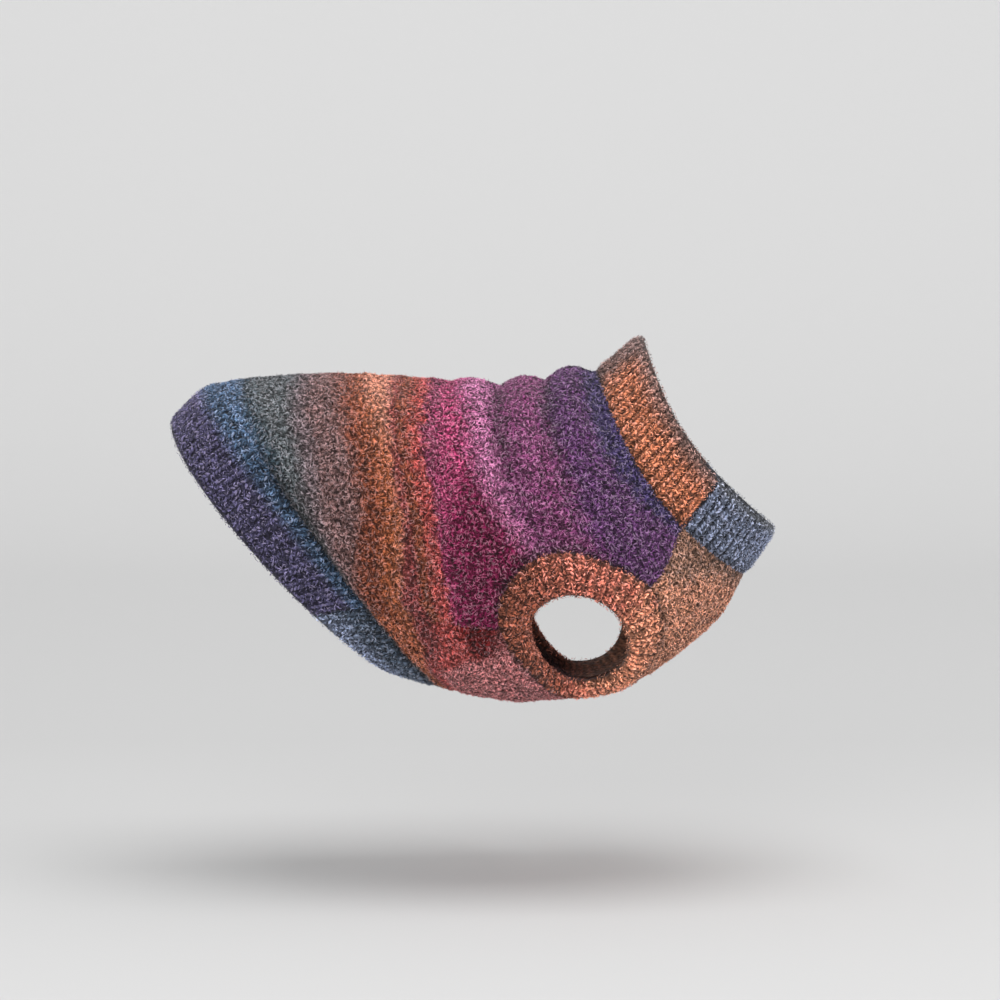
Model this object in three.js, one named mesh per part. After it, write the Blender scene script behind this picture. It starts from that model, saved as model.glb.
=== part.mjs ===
import * as THREE from 'three'

// Short pull-on knitted sweater for a small dog, in its worn form. Millimetres.
// +X towards the collar, +Z up, +Y the left side. Origin: inside of the back on the middle line.

// Knitted walls
const PANEL_WALL = 3.0
const BAND_WALL = 3.6
const EDGE_WALL = 1.6
const SEAM_GAP = 0.3
const STEEP_GAP = 0.6

// Ribs: half their height, and how many go round each band
const RIB_RELIEF = 0.6
const COLLAR_RIBS_BACK = 40
const COLLAR_RIBS_FRONT = 26
const HEM_RIBS_BACK = 48
const HEM_RIBS_BELLY = 30
const ARMHOLE_RIBS = 42

// Columns of each panel round the body
const BACK_COLUMNS = 20
const UNDER_COLUMNS = 10

// Seams and cut ends of the bands, on the same scale as the sections
const HEM_END = -0.13
const HEM_SEAM = 0.03
const COLLAR_SEAM = 1
const COLLAR_END = 1.17

// Body sections, hem edge to collar edge: top and low points on the middle line, half width,
// lean of the flanks, squareness, and how much wider the section is above than below.
const SECTIONS = [
  { along: -0.13, topX: -136.0, topZ: -22.5, lowX: -1.2, lowZ: -170.5, half: 72, lean: -10.5, square: 0.05, egg: 0.0 },
  { along: 0.0, topX: -113.0, topZ: -2.6, lowX: 19.2, lowZ: -177.8, half: 77, lean: -3, square: 0.05, egg: 0.02 },
  { along: 0.16, topX: -78.0, topZ: 2.6, lowX: 31.0, lowZ: -181.0, half: 83, lean: -6, square: 0.05, egg: 0.03 },
  { along: 0.34, topX: -38.4, topZ: 5.0, lowX: 44.0, lowZ: -184.0, half: 88, lean: -9, square: 0.05, egg: 0.04 },
  { along: 0.55, topX: 12.0, topZ: 2.4, lowX: 63.0, lowZ: -187.0, half: 93, lean: -10, square: 0.05, egg: 0.05 },
  { along: 0.655, topX: 37.0, topZ: -0.5, lowX: 84.0, lowZ: -187.5, half: 95, lean: -9, square: 0.05, egg: 0.05 },
  { along: 0.76, topX: 63.6, topZ: -3.4, lowX: 134.0, lowZ: -180.0, half: 95, lean: -10, square: 0.05, egg: 0.04 },
  { along: 0.885, topX: 93.0, topZ: 1.6, lowX: 187.0, lowZ: -142.0, half: 85, lean: -12, square: 0.03, egg: 0.02 },
  { along: 1.0, topX: 117.5, topZ: 7.0, lowX: 205.2, lowZ: -113.6, half: 71, lean: -13, square: 0, egg: 0 },
  { along: 1.17, topX: 145.0, topZ: 27.5, lowX: 223.5, lowZ: -85.5, half: 65, lean: -12, square: 0, egg: 0 },
]

// Folds: place along the body on the middle of the back, half width, height, drift forward in one
// radian round, and the angles round the body (degrees from the top) where the fold is full and gone.
const FOLDS = [
  { along: 0.687, reach: 0.058, height: 3.4, drift: -0.005, full: 30, gone: 92, start: -1 },
  { along: 0.803, reach: 0.058, height: 5.4, drift: -0.02, full: 30, gone: 88, start: -1 },
  { along: 0.925, reach: 0.064, height: 6.2, drift: -0.03, full: 30, gone: 84, start: -1 },
  { along: 0.115, reach: 0.085, height: 4.5, drift: 0, full: 100, gone: 116, start: 35 },
  { along: 0.36, reach: 0.2, height: 3.0, drift: 0, full: 103, gone: 110, start: 78 },
]

// Rows of the two panels: place along the body, and the angle from the top where the back panel
// ends and where the under panel begins. They differ where the armhole is cut out.
const ROWS = [
  { along: 0.03, back: 110, under: 110 },
  { along: 0.055, back: 110.2, under: 110.2 },
  { along: 0.08, back: 110.4, under: 110.4 },
  { along: 0.115, back: 110.6, under: 110.6 },
  { along: 0.16, back: 110.8, under: 110.8 },
  { along: 0.22, back: 111, under: 111 },
  { along: 0.28, back: 111, under: 111 },
  { along: 0.34, back: 111, under: 111 },
  { along: 0.4, back: 111, under: 111 },
  { along: 0.46, back: 111, under: 111 },
  { along: 0.52, back: 111, under: 111 },
  { along: 0.57, back: 111, under: 111 },
  { along: 0.61, back: 111.5, under: 111.5 },
  { along: 0.64, back: 112, under: 112 },
  { along: 0.647, back: 106.5, under: 119 },
  { along: 0.66, back: 102, under: 126 },
  { along: 0.672, back: 99, under: 134 },
  { along: 0.68, back: 97.4, under: 144 },
  { along: 0.692, back: 95.2, under: 156 },
  { along: 0.705, back: 92.8, under: 164 },
  { along: 0.72, back: 90.6, under: 168 },
  { along: 0.737, back: 89.2, under: 168 },
  { along: 0.755, back: 88.5, under: 165.5 },
  { along: 0.775, back: 88.7, under: 160 },
  { along: 0.795, back: 90.3, under: 152.5 },
  { along: 0.815, back: 93.6, under: 144.5 },
  { along: 0.832, back: 98, under: 137.5 },
  { along: 0.847, back: 103.3, under: 131 },
  { along: 0.858, back: 108.5, under: 124 },
  { along: 0.865, back: 115, under: 115 },
  { along: 0.885, back: 114, under: 114 },
  { along: 0.905, back: 113, under: 113 },
  { along: 0.925, back: 112, under: 112 },
  { along: 0.95, back: 111, under: 111 },
  { along: 0.975, back: 110.2, under: 110.2 },
  { along: 1.0, back: 109.5, under: 109.5 },
]
const ARMHOLE_FIRST = 13
const ARMHOLE_LAST = 29

// Leg opening: centre on the right side, half length forward, and the arrow to its upper outer point
const LEG_CENTRE = { x: 106, y: -70, z: -145.5 }
const LEG_HALF_LENGTH = 28.5
const LEG_RISE = { x: -11, y: -22, z: 27.5 }

// Profiles of the bands from seam to free edge: share of the width, lift of the outer face
const COLLAR_PROFILE = [
  { share: 0, lift: -0.8, rib: 0.3, wall: PANEL_WALL },
  { share: 0.16, lift: 1.4, rib: 1, wall: BAND_WALL },
  { share: 0.86, lift: 1.8, rib: 1, wall: BAND_WALL },
  { share: 1, lift: 0.4, rib: 0.5, wall: EDGE_WALL },
]
const HEM_PROFILE = [
  { share: 0, lift: -0.8, rib: 0.3, wall: PANEL_WALL },
  { share: 0.14, lift: 0.7, rib: 1, wall: BAND_WALL },
  { share: 0.9, lift: 0.9, rib: 1, wall: BAND_WALL },
  { share: 1, lift: -0.4, rib: 0.5, wall: EDGE_WALL },
]
const ARMHOLE_PROFILE = [
  { share: 0, lift: 0, rib: 0.3, wall: PANEL_WALL },
  { share: 0.2, lift: 2.6, rib: 1, wall: BAND_WALL },
  { share: 0.6, lift: 4.2, rib: 1, wall: BAND_WALL },
  { share: 0.92, lift: 2.4, rib: 1, wall: BAND_WALL },
  { share: 1, lift: 0.6, rib: 0.5, wall: EDGE_WALL },
]

const RADIAN = Math.PI / 180

// Points on the body

// Section values at any place along the body, on a smooth curve through the table
function sectionAt(along) {
  const last = SECTIONS.length - 1
  let row = 0
  while (row < last - 1 && along > SECTIONS[row + 1].along) row += 1
  const from = SECTIONS[row]
  const to = SECTIONS[row + 1]
  const step = to.along - from.along
  const t = (along - from.along) / step
  const slope = (index, name) => {
    const before = SECTIONS[Math.max(index - 1, 0)]
    const after = SECTIONS[Math.min(index + 1, last)]
    return (after[name] - before[name]) / (after.along - before.along)
  }
  const values = {}
  for (const name of Object.keys(from)) {
    const start = slope(row, name) * step
    const end = slope(row + 1, name) * step
    values[name] = (2 * t ** 3 - 3 * t ** 2 + 1) * from[name] + (t ** 3 - 2 * t ** 2 + t) * start
      + (3 * t ** 2 - 2 * t ** 3) * to[name] + (t ** 3 - t ** 2) * end
  }
  return values
}

// Point of the smooth body form; the angle is in degrees from the top, positive on the right side
function bodyPoint(along, degrees) {
  const section = sectionAt(along)
  const angle = degrees * RADIAN
  const up = (Math.cos(angle) - section.square * Math.cos(3 * angle)) / (1 - section.square)
  const out = Math.sin(angle) + section.square * Math.sin(3 * angle) - section.egg * Math.sin(2 * angle)
  const side = out / (1 - section.square)
  const halfX = (section.topX - section.lowX) / 2
  const halfZ = (section.topZ - section.lowZ) / 2
  const length = Math.hypot(halfX, halfZ)
  const lean = section.lean * Math.sin(angle) ** 2
  return new THREE.Vector3(
    (section.topX + section.lowX) / 2 + halfX * up + (halfZ / length) * lean,
    -section.half * side,
    (section.topZ + section.lowZ) / 2 + halfZ * up - (halfX / length) * lean,
  )
}

// Unit directions on the body: forward along it, round it away from the top, and outward
function bodyFrame(along, degrees) {
  const forward = bodyPoint(along + 0.004, degrees).sub(bodyPoint(along - 0.004, degrees)).normalize()
  const round = bodyPoint(along, degrees + 0.5).sub(bodyPoint(along, degrees - 0.5)).normalize()
  const outward = new THREE.Vector3().crossVectors(round, forward).normalize()
  return { forward, round, outward }
}

// Height of the folds above the smooth form
function foldHeight(along, degrees) {
  const away = Math.abs(degrees > 180 ? degrees - 360 : degrees)
  let height = 0
  for (const fold of FOLDS) {
    const middle = fold.along + fold.drift * away * RADIAN
    const share = Math.abs(along - middle) / fold.reach
    const fade = Math.min(Math.max((fold.gone - away) / (fold.gone - fold.full), 0), 1)
    const rise = fold.start < 0 ? 1 : Math.min(Math.max((away - fold.start) / 30, 0), 1)
    if (share < 1) height += fold.height * Math.cos(share * Math.PI / 2) * fade * rise
  }
  return height
}

// Closed wall from a grid of outer points and a matching grid of inner points

function wall(outer, inner, closedRound) {
  const rows = outer.length
  const columns = outer[0].length
  const points = []
  const faces = []
  for (const grid of [outer, inner]) {
    for (const row of grid) {
      for (const point of row) points.push(point.x, point.y, point.z)
    }
  }
  const outerAt = (row, column) => row * columns + (column % columns)
  const innerAt = (row, column) => rows * columns + outerAt(row, column)
  const quad = (a, b, c, d) => faces.push(a, b, c, a, c, d)
  const steps = closedRound ? columns : columns - 1
  for (let row = 0; row < rows - 1; row += 1) {
    for (let column = 0; column < steps; column += 1) {
      const o = [outerAt(row, column), outerAt(row, column + 1), outerAt(row + 1, column + 1), outerAt(row + 1, column)]
      const i = [innerAt(row, column), innerAt(row, column + 1), innerAt(row + 1, column + 1), innerAt(row + 1, column)]
      quad(o[0], o[1], o[2], o[3])
      quad(i[3], i[2], i[1], i[0])
    }
  }
  for (let column = 0; column < steps; column += 1) {
    quad(innerAt(0, column), innerAt(0, column + 1), outerAt(0, column + 1), outerAt(0, column))
    const end = rows - 1
    quad(outerAt(end, column), outerAt(end, column + 1), innerAt(end, column + 1), innerAt(end, column))
  }
  if (!closedRound) {
    const side = columns - 1
    for (let row = 0; row < rows - 1; row += 1) {
      quad(outerAt(row, 0), outerAt(row + 1, 0), innerAt(row + 1, 0), innerAt(row, 0))
      quad(outerAt(row + 1, side), outerAt(row, side), innerAt(row, side), innerAt(row + 1, side))
    }
  }
  const geometry = new THREE.BufferGeometry()
  geometry.setAttribute('position', new THREE.Float32BufferAttribute(points, 3))
  geometry.setIndex(faces)
  geometry.computeVertexNormals()
  return geometry
}

// Faces turned the other way, and the same wall on the left side of the body
function turned(geometry) {
  const index = geometry.getIndex()
  for (let face = 0; face < index.count; face += 3) {
    const first = index.getX(face)
    index.setX(face, index.getX(face + 1))
    index.setX(face + 1, first)
  }
  geometry.computeVertexNormals()
  return geometry
}

function leftCopy(geometry) {
  const copy = geometry.clone()
  const position = copy.getAttribute('position')
  for (let point = 0; point < position.count; point += 1) position.setY(point, -position.getY(point))
  return turned(copy)
}

// Panels

// One row of a panel: outer and inner points between two angles, moved clear of the seams
function panelRow(along, first, last, columns, seamFirst, seamLast, push) {
  const outer = []
  const inner = []
  for (let column = 0; column <= columns; column += 1) {
    const degrees = first + (last - first) * column / columns
    const { forward, round, outward } = bodyFrame(along, degrees)
    const point = bodyPoint(along, degrees).addScaledVector(forward, push)
    point.addScaledVector(outward, foldHeight(along, degrees))
    if (column === 0 && seamFirst) point.addScaledVector(round, SEAM_GAP / 2)
    if (column === columns && seamLast) point.addScaledVector(round, -SEAM_GAP / 2)
    outer.push(point)
    inner.push(point.clone().addScaledVector(outward, -PANEL_WALL))
  }
  return { outer, inner }
}

function panel(name) {
  const under = name === 'under'
  const columns = under ? UNDER_COLUMNS : BACK_COLUMNS
  const outer = []
  const inner = []
  ROWS.forEach((row, index) => {
    const cut = index > ARMHOLE_FIRST && index < ARMHOLE_LAST
    const edge = row[name]
    const first = under ? edge : -edge
    const last = under ? 360 - edge : edge
    let push = 0
    if (index === 0) push = SEAM_GAP / 2
    if (index === ROWS.length - 1) push = -SEAM_GAP / 2
    const made = panelRow(row.along, first, last, columns, !cut, !cut, push)
    outer.push(made.outer)
    inner.push(made.inner)
  })
  return { outer, inner }
}

// Ribbed bands at the two ends of the body

// Point on the straight between the two panel columns on either side of an angle
function seamPoint(along, first, last, columns, share) {
  const place = share * columns
  const column = Math.min(Math.floor(place), columns - 1)
  const before = bodyPoint(along, first + (last - first) * column / columns)
  const after = bodyPoint(along, first + (last - first) * (column + 1) / columns)
  return before.lerp(after, place - column)
}

function band(from, to, seam, free, profile, ribs, aroundTop) {
  const outer = []
  const inner = []
  const columns = ribs * 2
  const sign = to > from ? 1 : -1
  profile.forEach((step, index) => {
    const along = from + (to - from) * step.share
    const edge = seam + (free - seam) * step.share
    const first = aroundTop ? -edge : edge
    const last = aroundTop ? edge : 360 - edge
    const outerRow = []
    const innerRow = []
    for (let column = 0; column <= columns; column += 1) {
      const degrees = first + (last - first) * column / columns
      const { forward, round, outward } = bodyFrame(along, degrees)
      const seamColumns = aroundTop ? BACK_COLUMNS : UNDER_COLUMNS
      const point = index === 0
        ? seamPoint(along, first, last, seamColumns, column / columns)
        : bodyPoint(along, degrees)
      if (index === 0) point.addScaledVector(forward, sign * SEAM_GAP / 2)
      if (column === 0) point.addScaledVector(round, SEAM_GAP / 2)
      if (column === columns) point.addScaledVector(round, -SEAM_GAP / 2)
      const ridge = column % 2 === 0 ? -1 : 1
      const ends = column === 0 || column === columns ? 0 : 1
      const middle = point.clone().addScaledVector(outward, step.lift - step.wall - RIB_RELIEF)
      innerRow.push(middle)
      outerRow.push(point.addScaledVector(outward, step.lift + ridge * ends * step.rib * RIB_RELIEF))
    }
    outer.push(outerRow)
    inner.push(innerRow)
  })
  const geometry = wall(outer, inner, false)
  return sign > 0 ? geometry : turned(geometry)
}

// Ribbed bands round the armholes

// Cut edge of the armhole on the right side, once round: over the top forward, then back below
function armholeEdge(back, under) {
  const edge = []
  for (let row = ARMHOLE_FIRST; row <= ARMHOLE_LAST; row += 1) {
    const last = back.outer[row].length - 1
    edge.push({ outer: back.outer[row][last], inner: back.inner[row][last] })
  }
  for (let row = ARMHOLE_LAST; row >= ARMHOLE_FIRST; row -= 1) {
    edge.push({ outer: under.outer[row][0], inner: under.inner[row][0] })
  }
  return edge
}

// Point pair at a share of the way round a closed edge
function onEdge(edge, share) {
  const lengths = edge.map((pair, index) => pair.outer.distanceTo(edge[(index + 1) % edge.length].outer))
  const total = lengths.reduce((sum, length) => sum + length, 0)
  let rest = share * total
  let index = 0
  while (rest > lengths[index] && index < edge.length - 1) {
    rest -= lengths[index]
    index += 1
  }
  const next = edge[(index + 1) % edge.length]
  const t = rest / lengths[index]
  const outer = edge[index].outer.clone().lerp(next.outer, t)
  const inner = edge[index].inner.clone().lerp(next.inner, t)
  return { outer, inner, along: next.outer.clone().sub(edge[index].outer).normalize() }
}

function armholeBand(edge) {
  const centre = new THREE.Vector3(LEG_CENTRE.x, LEG_CENTRE.y, LEG_CENTRE.z)
  const rise = new THREE.Vector3(LEG_RISE.x, LEG_RISE.y, LEG_RISE.z)
  const riseLength = rise.length()
  const riseWay = rise.clone().normalize()
  const forwardWay = new THREE.Vector3(1, 0, 0)
  forwardWay.addScaledVector(riseWay, -forwardWay.dot(riseWay)).normalize()
  const columns = ARMHOLE_RIBS * 2
  const outer = ARMHOLE_PROFILE.map(() => [])
  const inner = ARMHOLE_PROFILE.map(() => [])
  for (let column = 0; column < columns; column += 1) {
    const start = onEdge(edge, column / columns)
    const wallWay = start.outer.clone().sub(start.inner).normalize()
    const from = start.outer.clone().sub(centre)
    const turn = Math.atan2(from.dot(riseWay) / riseLength, from.dot(forwardWay) / LEG_HALF_LENGTH)
    const opening = centre.clone()
    opening.addScaledVector(forwardWay, LEG_HALF_LENGTH * Math.cos(turn))
    opening.addScaledVector(riseWay, riseLength * Math.sin(turn))
    const tangent = onEdge(edge, ((column + 1) % columns) / columns).outer
    tangent.sub(onEdge(edge, ((column + columns - 1) % columns) / columns).outer).normalize()
    const inward = new THREE.Vector3().crossVectors(start.along, wallWay).normalize()
    // Where the band turns in under the panel, the gap opens a little so that the walls stay apart
    const steep = Math.max(0, -opening.clone().sub(start.outer).normalize().dot(wallWay))
    const seam = start.outer.clone().addScaledVector(inward, SEAM_GAP + STEEP_GAP * steep)
    // The wall leaves the seam along the panel's own wall, and from there on stands square to the band
    const square = opening.clone().sub(seam).cross(tangent).normalize()
    const ridge = column % 2 === 0 ? -1 : 1
    ARMHOLE_PROFILE.forEach((step, index) => {
      const outward = index > 0 ? square : wallWay
      // the first row past the seam stays clear of the panel's wall where the band is steep
      const clear = index === 1 ? 1 - steep : 1
      const point = seam.clone().lerp(opening, step.share)
      inner[index].push(point.clone().addScaledVector(outward, (step.lift - step.wall) * clear))
      outer[index].push(point.addScaledVector(outward, step.lift + ridge * step.rib * RIB_RELIEF))
    })
  }
  return turned(wall(outer, inner, true))
}

// The whole sweater

function piece(name, geometry, colour) {
  const mesh = new THREE.Mesh(geometry, new THREE.MeshStandardMaterial({ color: colour, roughness: 0.95 }))
  mesh.name = name
  return mesh
}

const back = panel('back')
const under = panel('under')
const armholeRight = armholeBand(armholeEdge(back, under))

const sweater = new THREE.Group()
sweater.name = 'dog_sweater'
sweater.add(piece('back_panel', wall(back.outer, back.inner, false), 0x8a4a72))
sweater.add(piece('under_panel', wall(under.outer, under.inner, false), 0xa0604f))
sweater.add(piece(
  'collar_back',
  band(COLLAR_SEAM, COLLAR_END, 109.5, 108, COLLAR_PROFILE, COLLAR_RIBS_BACK, true),
  0xc06a48,
))
sweater.add(piece(
  'collar_front',
  band(COLLAR_SEAM, COLLAR_END, 109.5, 108, COLLAR_PROFILE, COLLAR_RIBS_FRONT, false),
  0x4f6280,
))
sweater.add(piece('armhole_band_right', armholeRight, 0xb5604a))
sweater.add(piece('armhole_band_left', leftCopy(armholeRight), 0xb4614b))
sweater.add(piece('hem_back', band(HEM_SEAM, HEM_END, 110, 109, HEM_PROFILE, HEM_RIBS_BACK, true), 0x45416e))
sweater.add(piece('hem_belly', band(HEM_SEAM, HEM_END, 110, 109, HEM_PROFILE, HEM_RIBS_BELLY, false), 0x3f5f80))

export default sweater
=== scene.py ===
import math
import bmesh
import bpy
import numpy as np
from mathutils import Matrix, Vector


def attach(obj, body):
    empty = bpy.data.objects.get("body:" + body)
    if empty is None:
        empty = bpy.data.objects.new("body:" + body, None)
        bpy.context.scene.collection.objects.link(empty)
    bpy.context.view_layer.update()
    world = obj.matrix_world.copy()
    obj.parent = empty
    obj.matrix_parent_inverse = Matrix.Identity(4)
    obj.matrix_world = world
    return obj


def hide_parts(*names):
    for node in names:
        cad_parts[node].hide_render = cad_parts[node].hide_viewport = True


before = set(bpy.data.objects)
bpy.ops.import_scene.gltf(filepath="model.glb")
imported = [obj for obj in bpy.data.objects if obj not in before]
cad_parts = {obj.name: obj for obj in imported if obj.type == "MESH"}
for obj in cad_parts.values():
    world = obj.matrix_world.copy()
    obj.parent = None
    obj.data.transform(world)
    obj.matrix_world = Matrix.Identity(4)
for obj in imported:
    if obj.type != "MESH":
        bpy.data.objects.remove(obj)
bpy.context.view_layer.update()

# The view and its light. A long lens looks slightly down on the right flank, over a plain pale
# floor that sweeps up behind. A broad soft light hangs above, with weaker ones at the front.
view_data = bpy.data.cameras.new("view")
view_data.lens = 156
view_data.sensor_width = 36
view_data.clip_end = 30
view = bpy.data.objects.new("view", view_data)
looking_down = math.radians(5)
aim = Vector((0.060, 0.0, -0.0698))
view.location = aim + Vector((0, -math.cos(looking_down), math.sin(looking_down))) * 2.6
view.rotation_euler = (math.pi / 2 - looking_down, 0, 0)
bpy.context.collection.objects.link(view)
bpy.context.scene.camera = view

sweep_bend = np.radians(np.linspace(-90, 0, 25))
sweep_y = np.concatenate([[-6.0, -2.0], 1.8 + 1.4 * np.cos(sweep_bend), [3.2]])
sweep_z = np.concatenate([[0.0, 0.0], 1.4 + 1.4 * np.sin(sweep_bend), [5.0]]) - 0.301
sweep_points = [(x, y, z) for x in (-6.0, 6.0) for y, z in zip(sweep_y, sweep_z)]
sweep_count = len(sweep_y)
sweep_faces = [(i, sweep_count + i, sweep_count + i + 1, i + 1) for i in range(sweep_count - 1)]
sweep_mesh = bpy.data.meshes.new("floor_sweep")
sweep_mesh.from_pydata(sweep_points, [], sweep_faces)
sweep_mesh.shade_smooth()
sweep = bpy.data.objects.new("floor_sweep", sweep_mesh)
bpy.context.collection.objects.link(sweep)
sweep_paint = bpy.data.materials.new("pale_paper")
sweep_paint.use_nodes = True
paper = sweep_paint.node_tree.nodes["Principled BSDF"]
paper_parts = sweep_paint.node_tree.nodes.new("ShaderNodeSeparateXYZ")
place_on_paper = sweep_paint.node_tree.nodes.new("ShaderNodeTexCoord")
tone = sweep_paint.node_tree.nodes.new("ShaderNodeValToRGB")
tone.color_ramp.elements[0].position, tone.color_ramp.elements[0].color = 0.0, (0.61, 0.61, 0.61, 1)
tone.color_ramp.elements[1].position, tone.color_ramp.elements[1].color = 1.0, (0.90, 0.90, 0.90, 1)
depth_to_tone = sweep_paint.node_tree.nodes.new("ShaderNodeMapRange")
depth_to_tone.inputs["From Min"].default_value = 0.6
depth_to_tone.inputs["From Max"].default_value = 3.2
sweep_paint.node_tree.links.new(place_on_paper.outputs["Object"], paper_parts.inputs[0])
sweep_paint.node_tree.links.new(paper_parts.outputs["Y"], depth_to_tone.inputs["Value"])
sweep_paint.node_tree.links.new(depth_to_tone.outputs["Result"], tone.inputs["Fac"])
sweep_paint.node_tree.links.new(tone.outputs["Color"], paper.inputs["Base Color"])
paper.inputs["Roughness"].default_value = 1.0
paper.inputs["Specular IOR Level"].default_value = 0.0
sweep_mesh.materials.append(sweep_paint)

light_aim = Vector((0.05, 0, -0.09))
for name, place, size, power in (
    ("light_above", (0.15, -0.50, 1.9), 1.5, 25),
    ("light_front", (-0.5, -2.2, 0.9), 1.4, 15),
    ("light_collar_side", (2.2, -0.9, 0.6), 1.2, 9),
):
    lamp = bpy.data.lights.new(name, "AREA")
    lamp.shape = "SQUARE"
    lamp.size = size
    lamp.energy = power
    holder = bpy.data.objects.new(name, lamp)
    holder.location = place
    holder.rotation_euler = (light_aim - Vector(place)).to_track_quat("-Z", "Y").to_euler()
    bpy.context.collection.objects.link(holder)

room = bpy.data.worlds.new("room")
room.use_nodes = True
room.node_tree.nodes["Background"].inputs["Color"].default_value = (1, 1, 1, 1)
room.node_tree.nodes["Background"].inputs["Strength"].default_value = 0.66
bpy.context.scene.world = room
bpy.context.scene.view_settings.view_transform = "Standard"


# Back panel. One knitted piece over the back and both flanks, from the hem seam to the collar
# seam, with the upper half of each armhole cut from its long edges. The wool is dyed in stripes
# that run round the body, and the whole face is brushed into short curls.
BODY_SECTIONS = np.array([
    # along, top x, top z, low x, low z, half width, lean, squareness, wider above
    (-0.13, -136.0, -22.5, -1.2, -170.5, 72, -10.5, 0.05, 0.0),
    (0.0, -113.0, -2.6, 19.2, -177.8, 77, -3, 0.05, 0.02),
    (0.16, -78.0, 2.6, 31.0, -181.0, 83, -6, 0.05, 0.03),
    (0.34, -38.4, 5.0, 44.0, -184.0, 88, -9, 0.05, 0.04),
    (0.55, 12.0, 2.4, 63.0, -187.0, 93, -10, 0.05, 0.05),
    (0.655, 37.0, -0.5, 84.0, -187.5, 95, -9, 0.05, 0.05),
    (0.76, 63.6, -3.4, 134.0, -180.0, 95, -10, 0.05, 0.04),
    (0.885, 93.0, 1.6, 187.0, -142.0, 85, -12, 0.03, 0.02),
    (1.0, 117.5, 7.0, 205.2, -113.6, 71, -13, 0, 0),
    (1.17, 145.0, 27.5, 223.5, -85.5, 65, -12, 0, 0),
])
BODY_FOLDS = (
    # along, reach, height, drift, full at, gone at, starts at
    (0.687, 0.058, 3.4, -0.005, 30, 92, None),
    (0.803, 0.058, 5.4, -0.02, 30, 88, None),
    (0.925, 0.064, 6.2, -0.03, 30, 84, None),
    (0.115, 0.085, 4.5, 0, 100, 116, 35),
    (0.36, 0.2, 3.0, 0, 103, 110, 78),
)
PANEL_EDGES = np.array([
    # along, last degree of the back panel, first degree of the under panel
    (0.03, 110, 110), (0.055, 110.2, 110.2), (0.08, 110.4, 110.4), (0.115, 110.6, 110.6),
    (0.16, 110.8, 110.8), (0.22, 111, 111), (0.28, 111, 111), (0.34, 111, 111), (0.4, 111, 111),
    (0.46, 111, 111), (0.52, 111, 111), (0.57, 111, 111), (0.61, 111.5, 111.5), (0.64, 112, 112),
    (0.647, 106.5, 119), (0.66, 102, 126), (0.672, 99, 134), (0.68, 97.4, 144),
    (0.692, 95.2, 156), (0.705, 92.8, 164), (0.72, 90.6, 168), (0.737, 89.2, 168),
    (0.755, 88.5, 165.5), (0.775, 88.7, 160), (0.795, 90.3, 152.5), (0.815, 93.6, 144.5),
    (0.832, 98, 137.5), (0.847, 103.3, 131), (0.858, 108.5, 124), (0.865, 115, 115),
    (0.885, 114, 114), (0.905, 113, 113), (0.925, 112, 112), (0.95, 111, 111),
    (0.975, 110.2, 110.2), (1.0, 109.5, 109.5),
])
SEAM_GAP = 0.3
PANEL_THICK = 3.0
# the yarn's pattern is laid out in about millimetres, from places along the body and degrees round it
ALONG_MM = 262
DEGREE_MM = 1.62
# the stretch between the two ends of the armholes, where the panels part
HOLE_START = 0.6401
HOLE_END = 0.8649
# painted shade: how deep, how wide, and where along the body
VALLEYS = ((0.745, -0.012), (0.864, -0.025))
VALLEY_DEPTH, VALLEY_WIDTH = 0.55, 0.018
CREASE_DEPTH, CREASE_PLACE, CREASE_WIDTH = 0.88, 0.050, 0.023
BAND_SHADE_DEPTH, BAND_SHADE_WIDTH = 0.6, 0.016
BAND_SHADE_START, BAND_SHADE_END = 0.645, 0.868


def body_point(along, degrees):
    """Point in mm; the angle runs from the middle of the back, positive on the right side."""
    along, degrees = np.broadcast_arrays(np.asarray(along, float), np.asarray(degrees, float))
    table = BODY_SECTIONS
    place = table[:, 0]
    last = len(place) - 1
    slopes = np.array([
        (table[min(i + 1, last)] - table[max(i - 1, 0)])
        / (place[min(i + 1, last)] - place[max(i - 1, 0)]) for i in range(last + 1)
    ])
    row = np.clip(np.searchsorted(place, along, side="left") - 1, 0, last - 1)
    step = (place[row + 1] - place[row])[..., None]
    t = ((along - place[row]) / step[..., 0])[..., None]
    values = (
        (2 * t**3 - 3 * t**2 + 1) * table[row] + (t**3 - 2 * t**2 + t) * step * slopes[row]
        + (3 * t**2 - 2 * t**3) * table[row + 1] + (t**3 - t**2) * step * slopes[row + 1]
    )
    _, top_x, top_z, low_x, low_z, half, lean, square, egg = np.moveaxis(values, -1, 0)
    turn = np.radians(degrees)
    up = (np.cos(turn) - square * np.cos(3 * turn)) / (1 - square)
    side = (np.sin(turn) + square * np.sin(3 * turn) - egg * np.sin(2 * turn)) / (1 - square)
    half_x, half_z = (top_x - low_x) / 2, (top_z - low_z) / 2
    length = np.hypot(half_x, half_z)
    push = lean * np.sin(turn) ** 2
    return np.stack([
        (top_x + low_x) / 2 + half_x * up + half_z / length * push,
        -half * side,
        (top_z + low_z) / 2 + half_z * up - half_x / length * push,
    ], -1)


def unit(vectors):
    return vectors / np.linalg.norm(vectors, axis=-1, keepdims=True)


def body_frame(along, degrees):
    """Unit directions forward, round the body and outward."""
    forward = unit(body_point(along + 0.004, degrees) - body_point(along - 0.004, degrees))
    round_it = unit(body_point(along, degrees + 0.5) - body_point(along, degrees - 0.5))
    return forward, round_it, unit(np.cross(round_it, forward))


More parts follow.
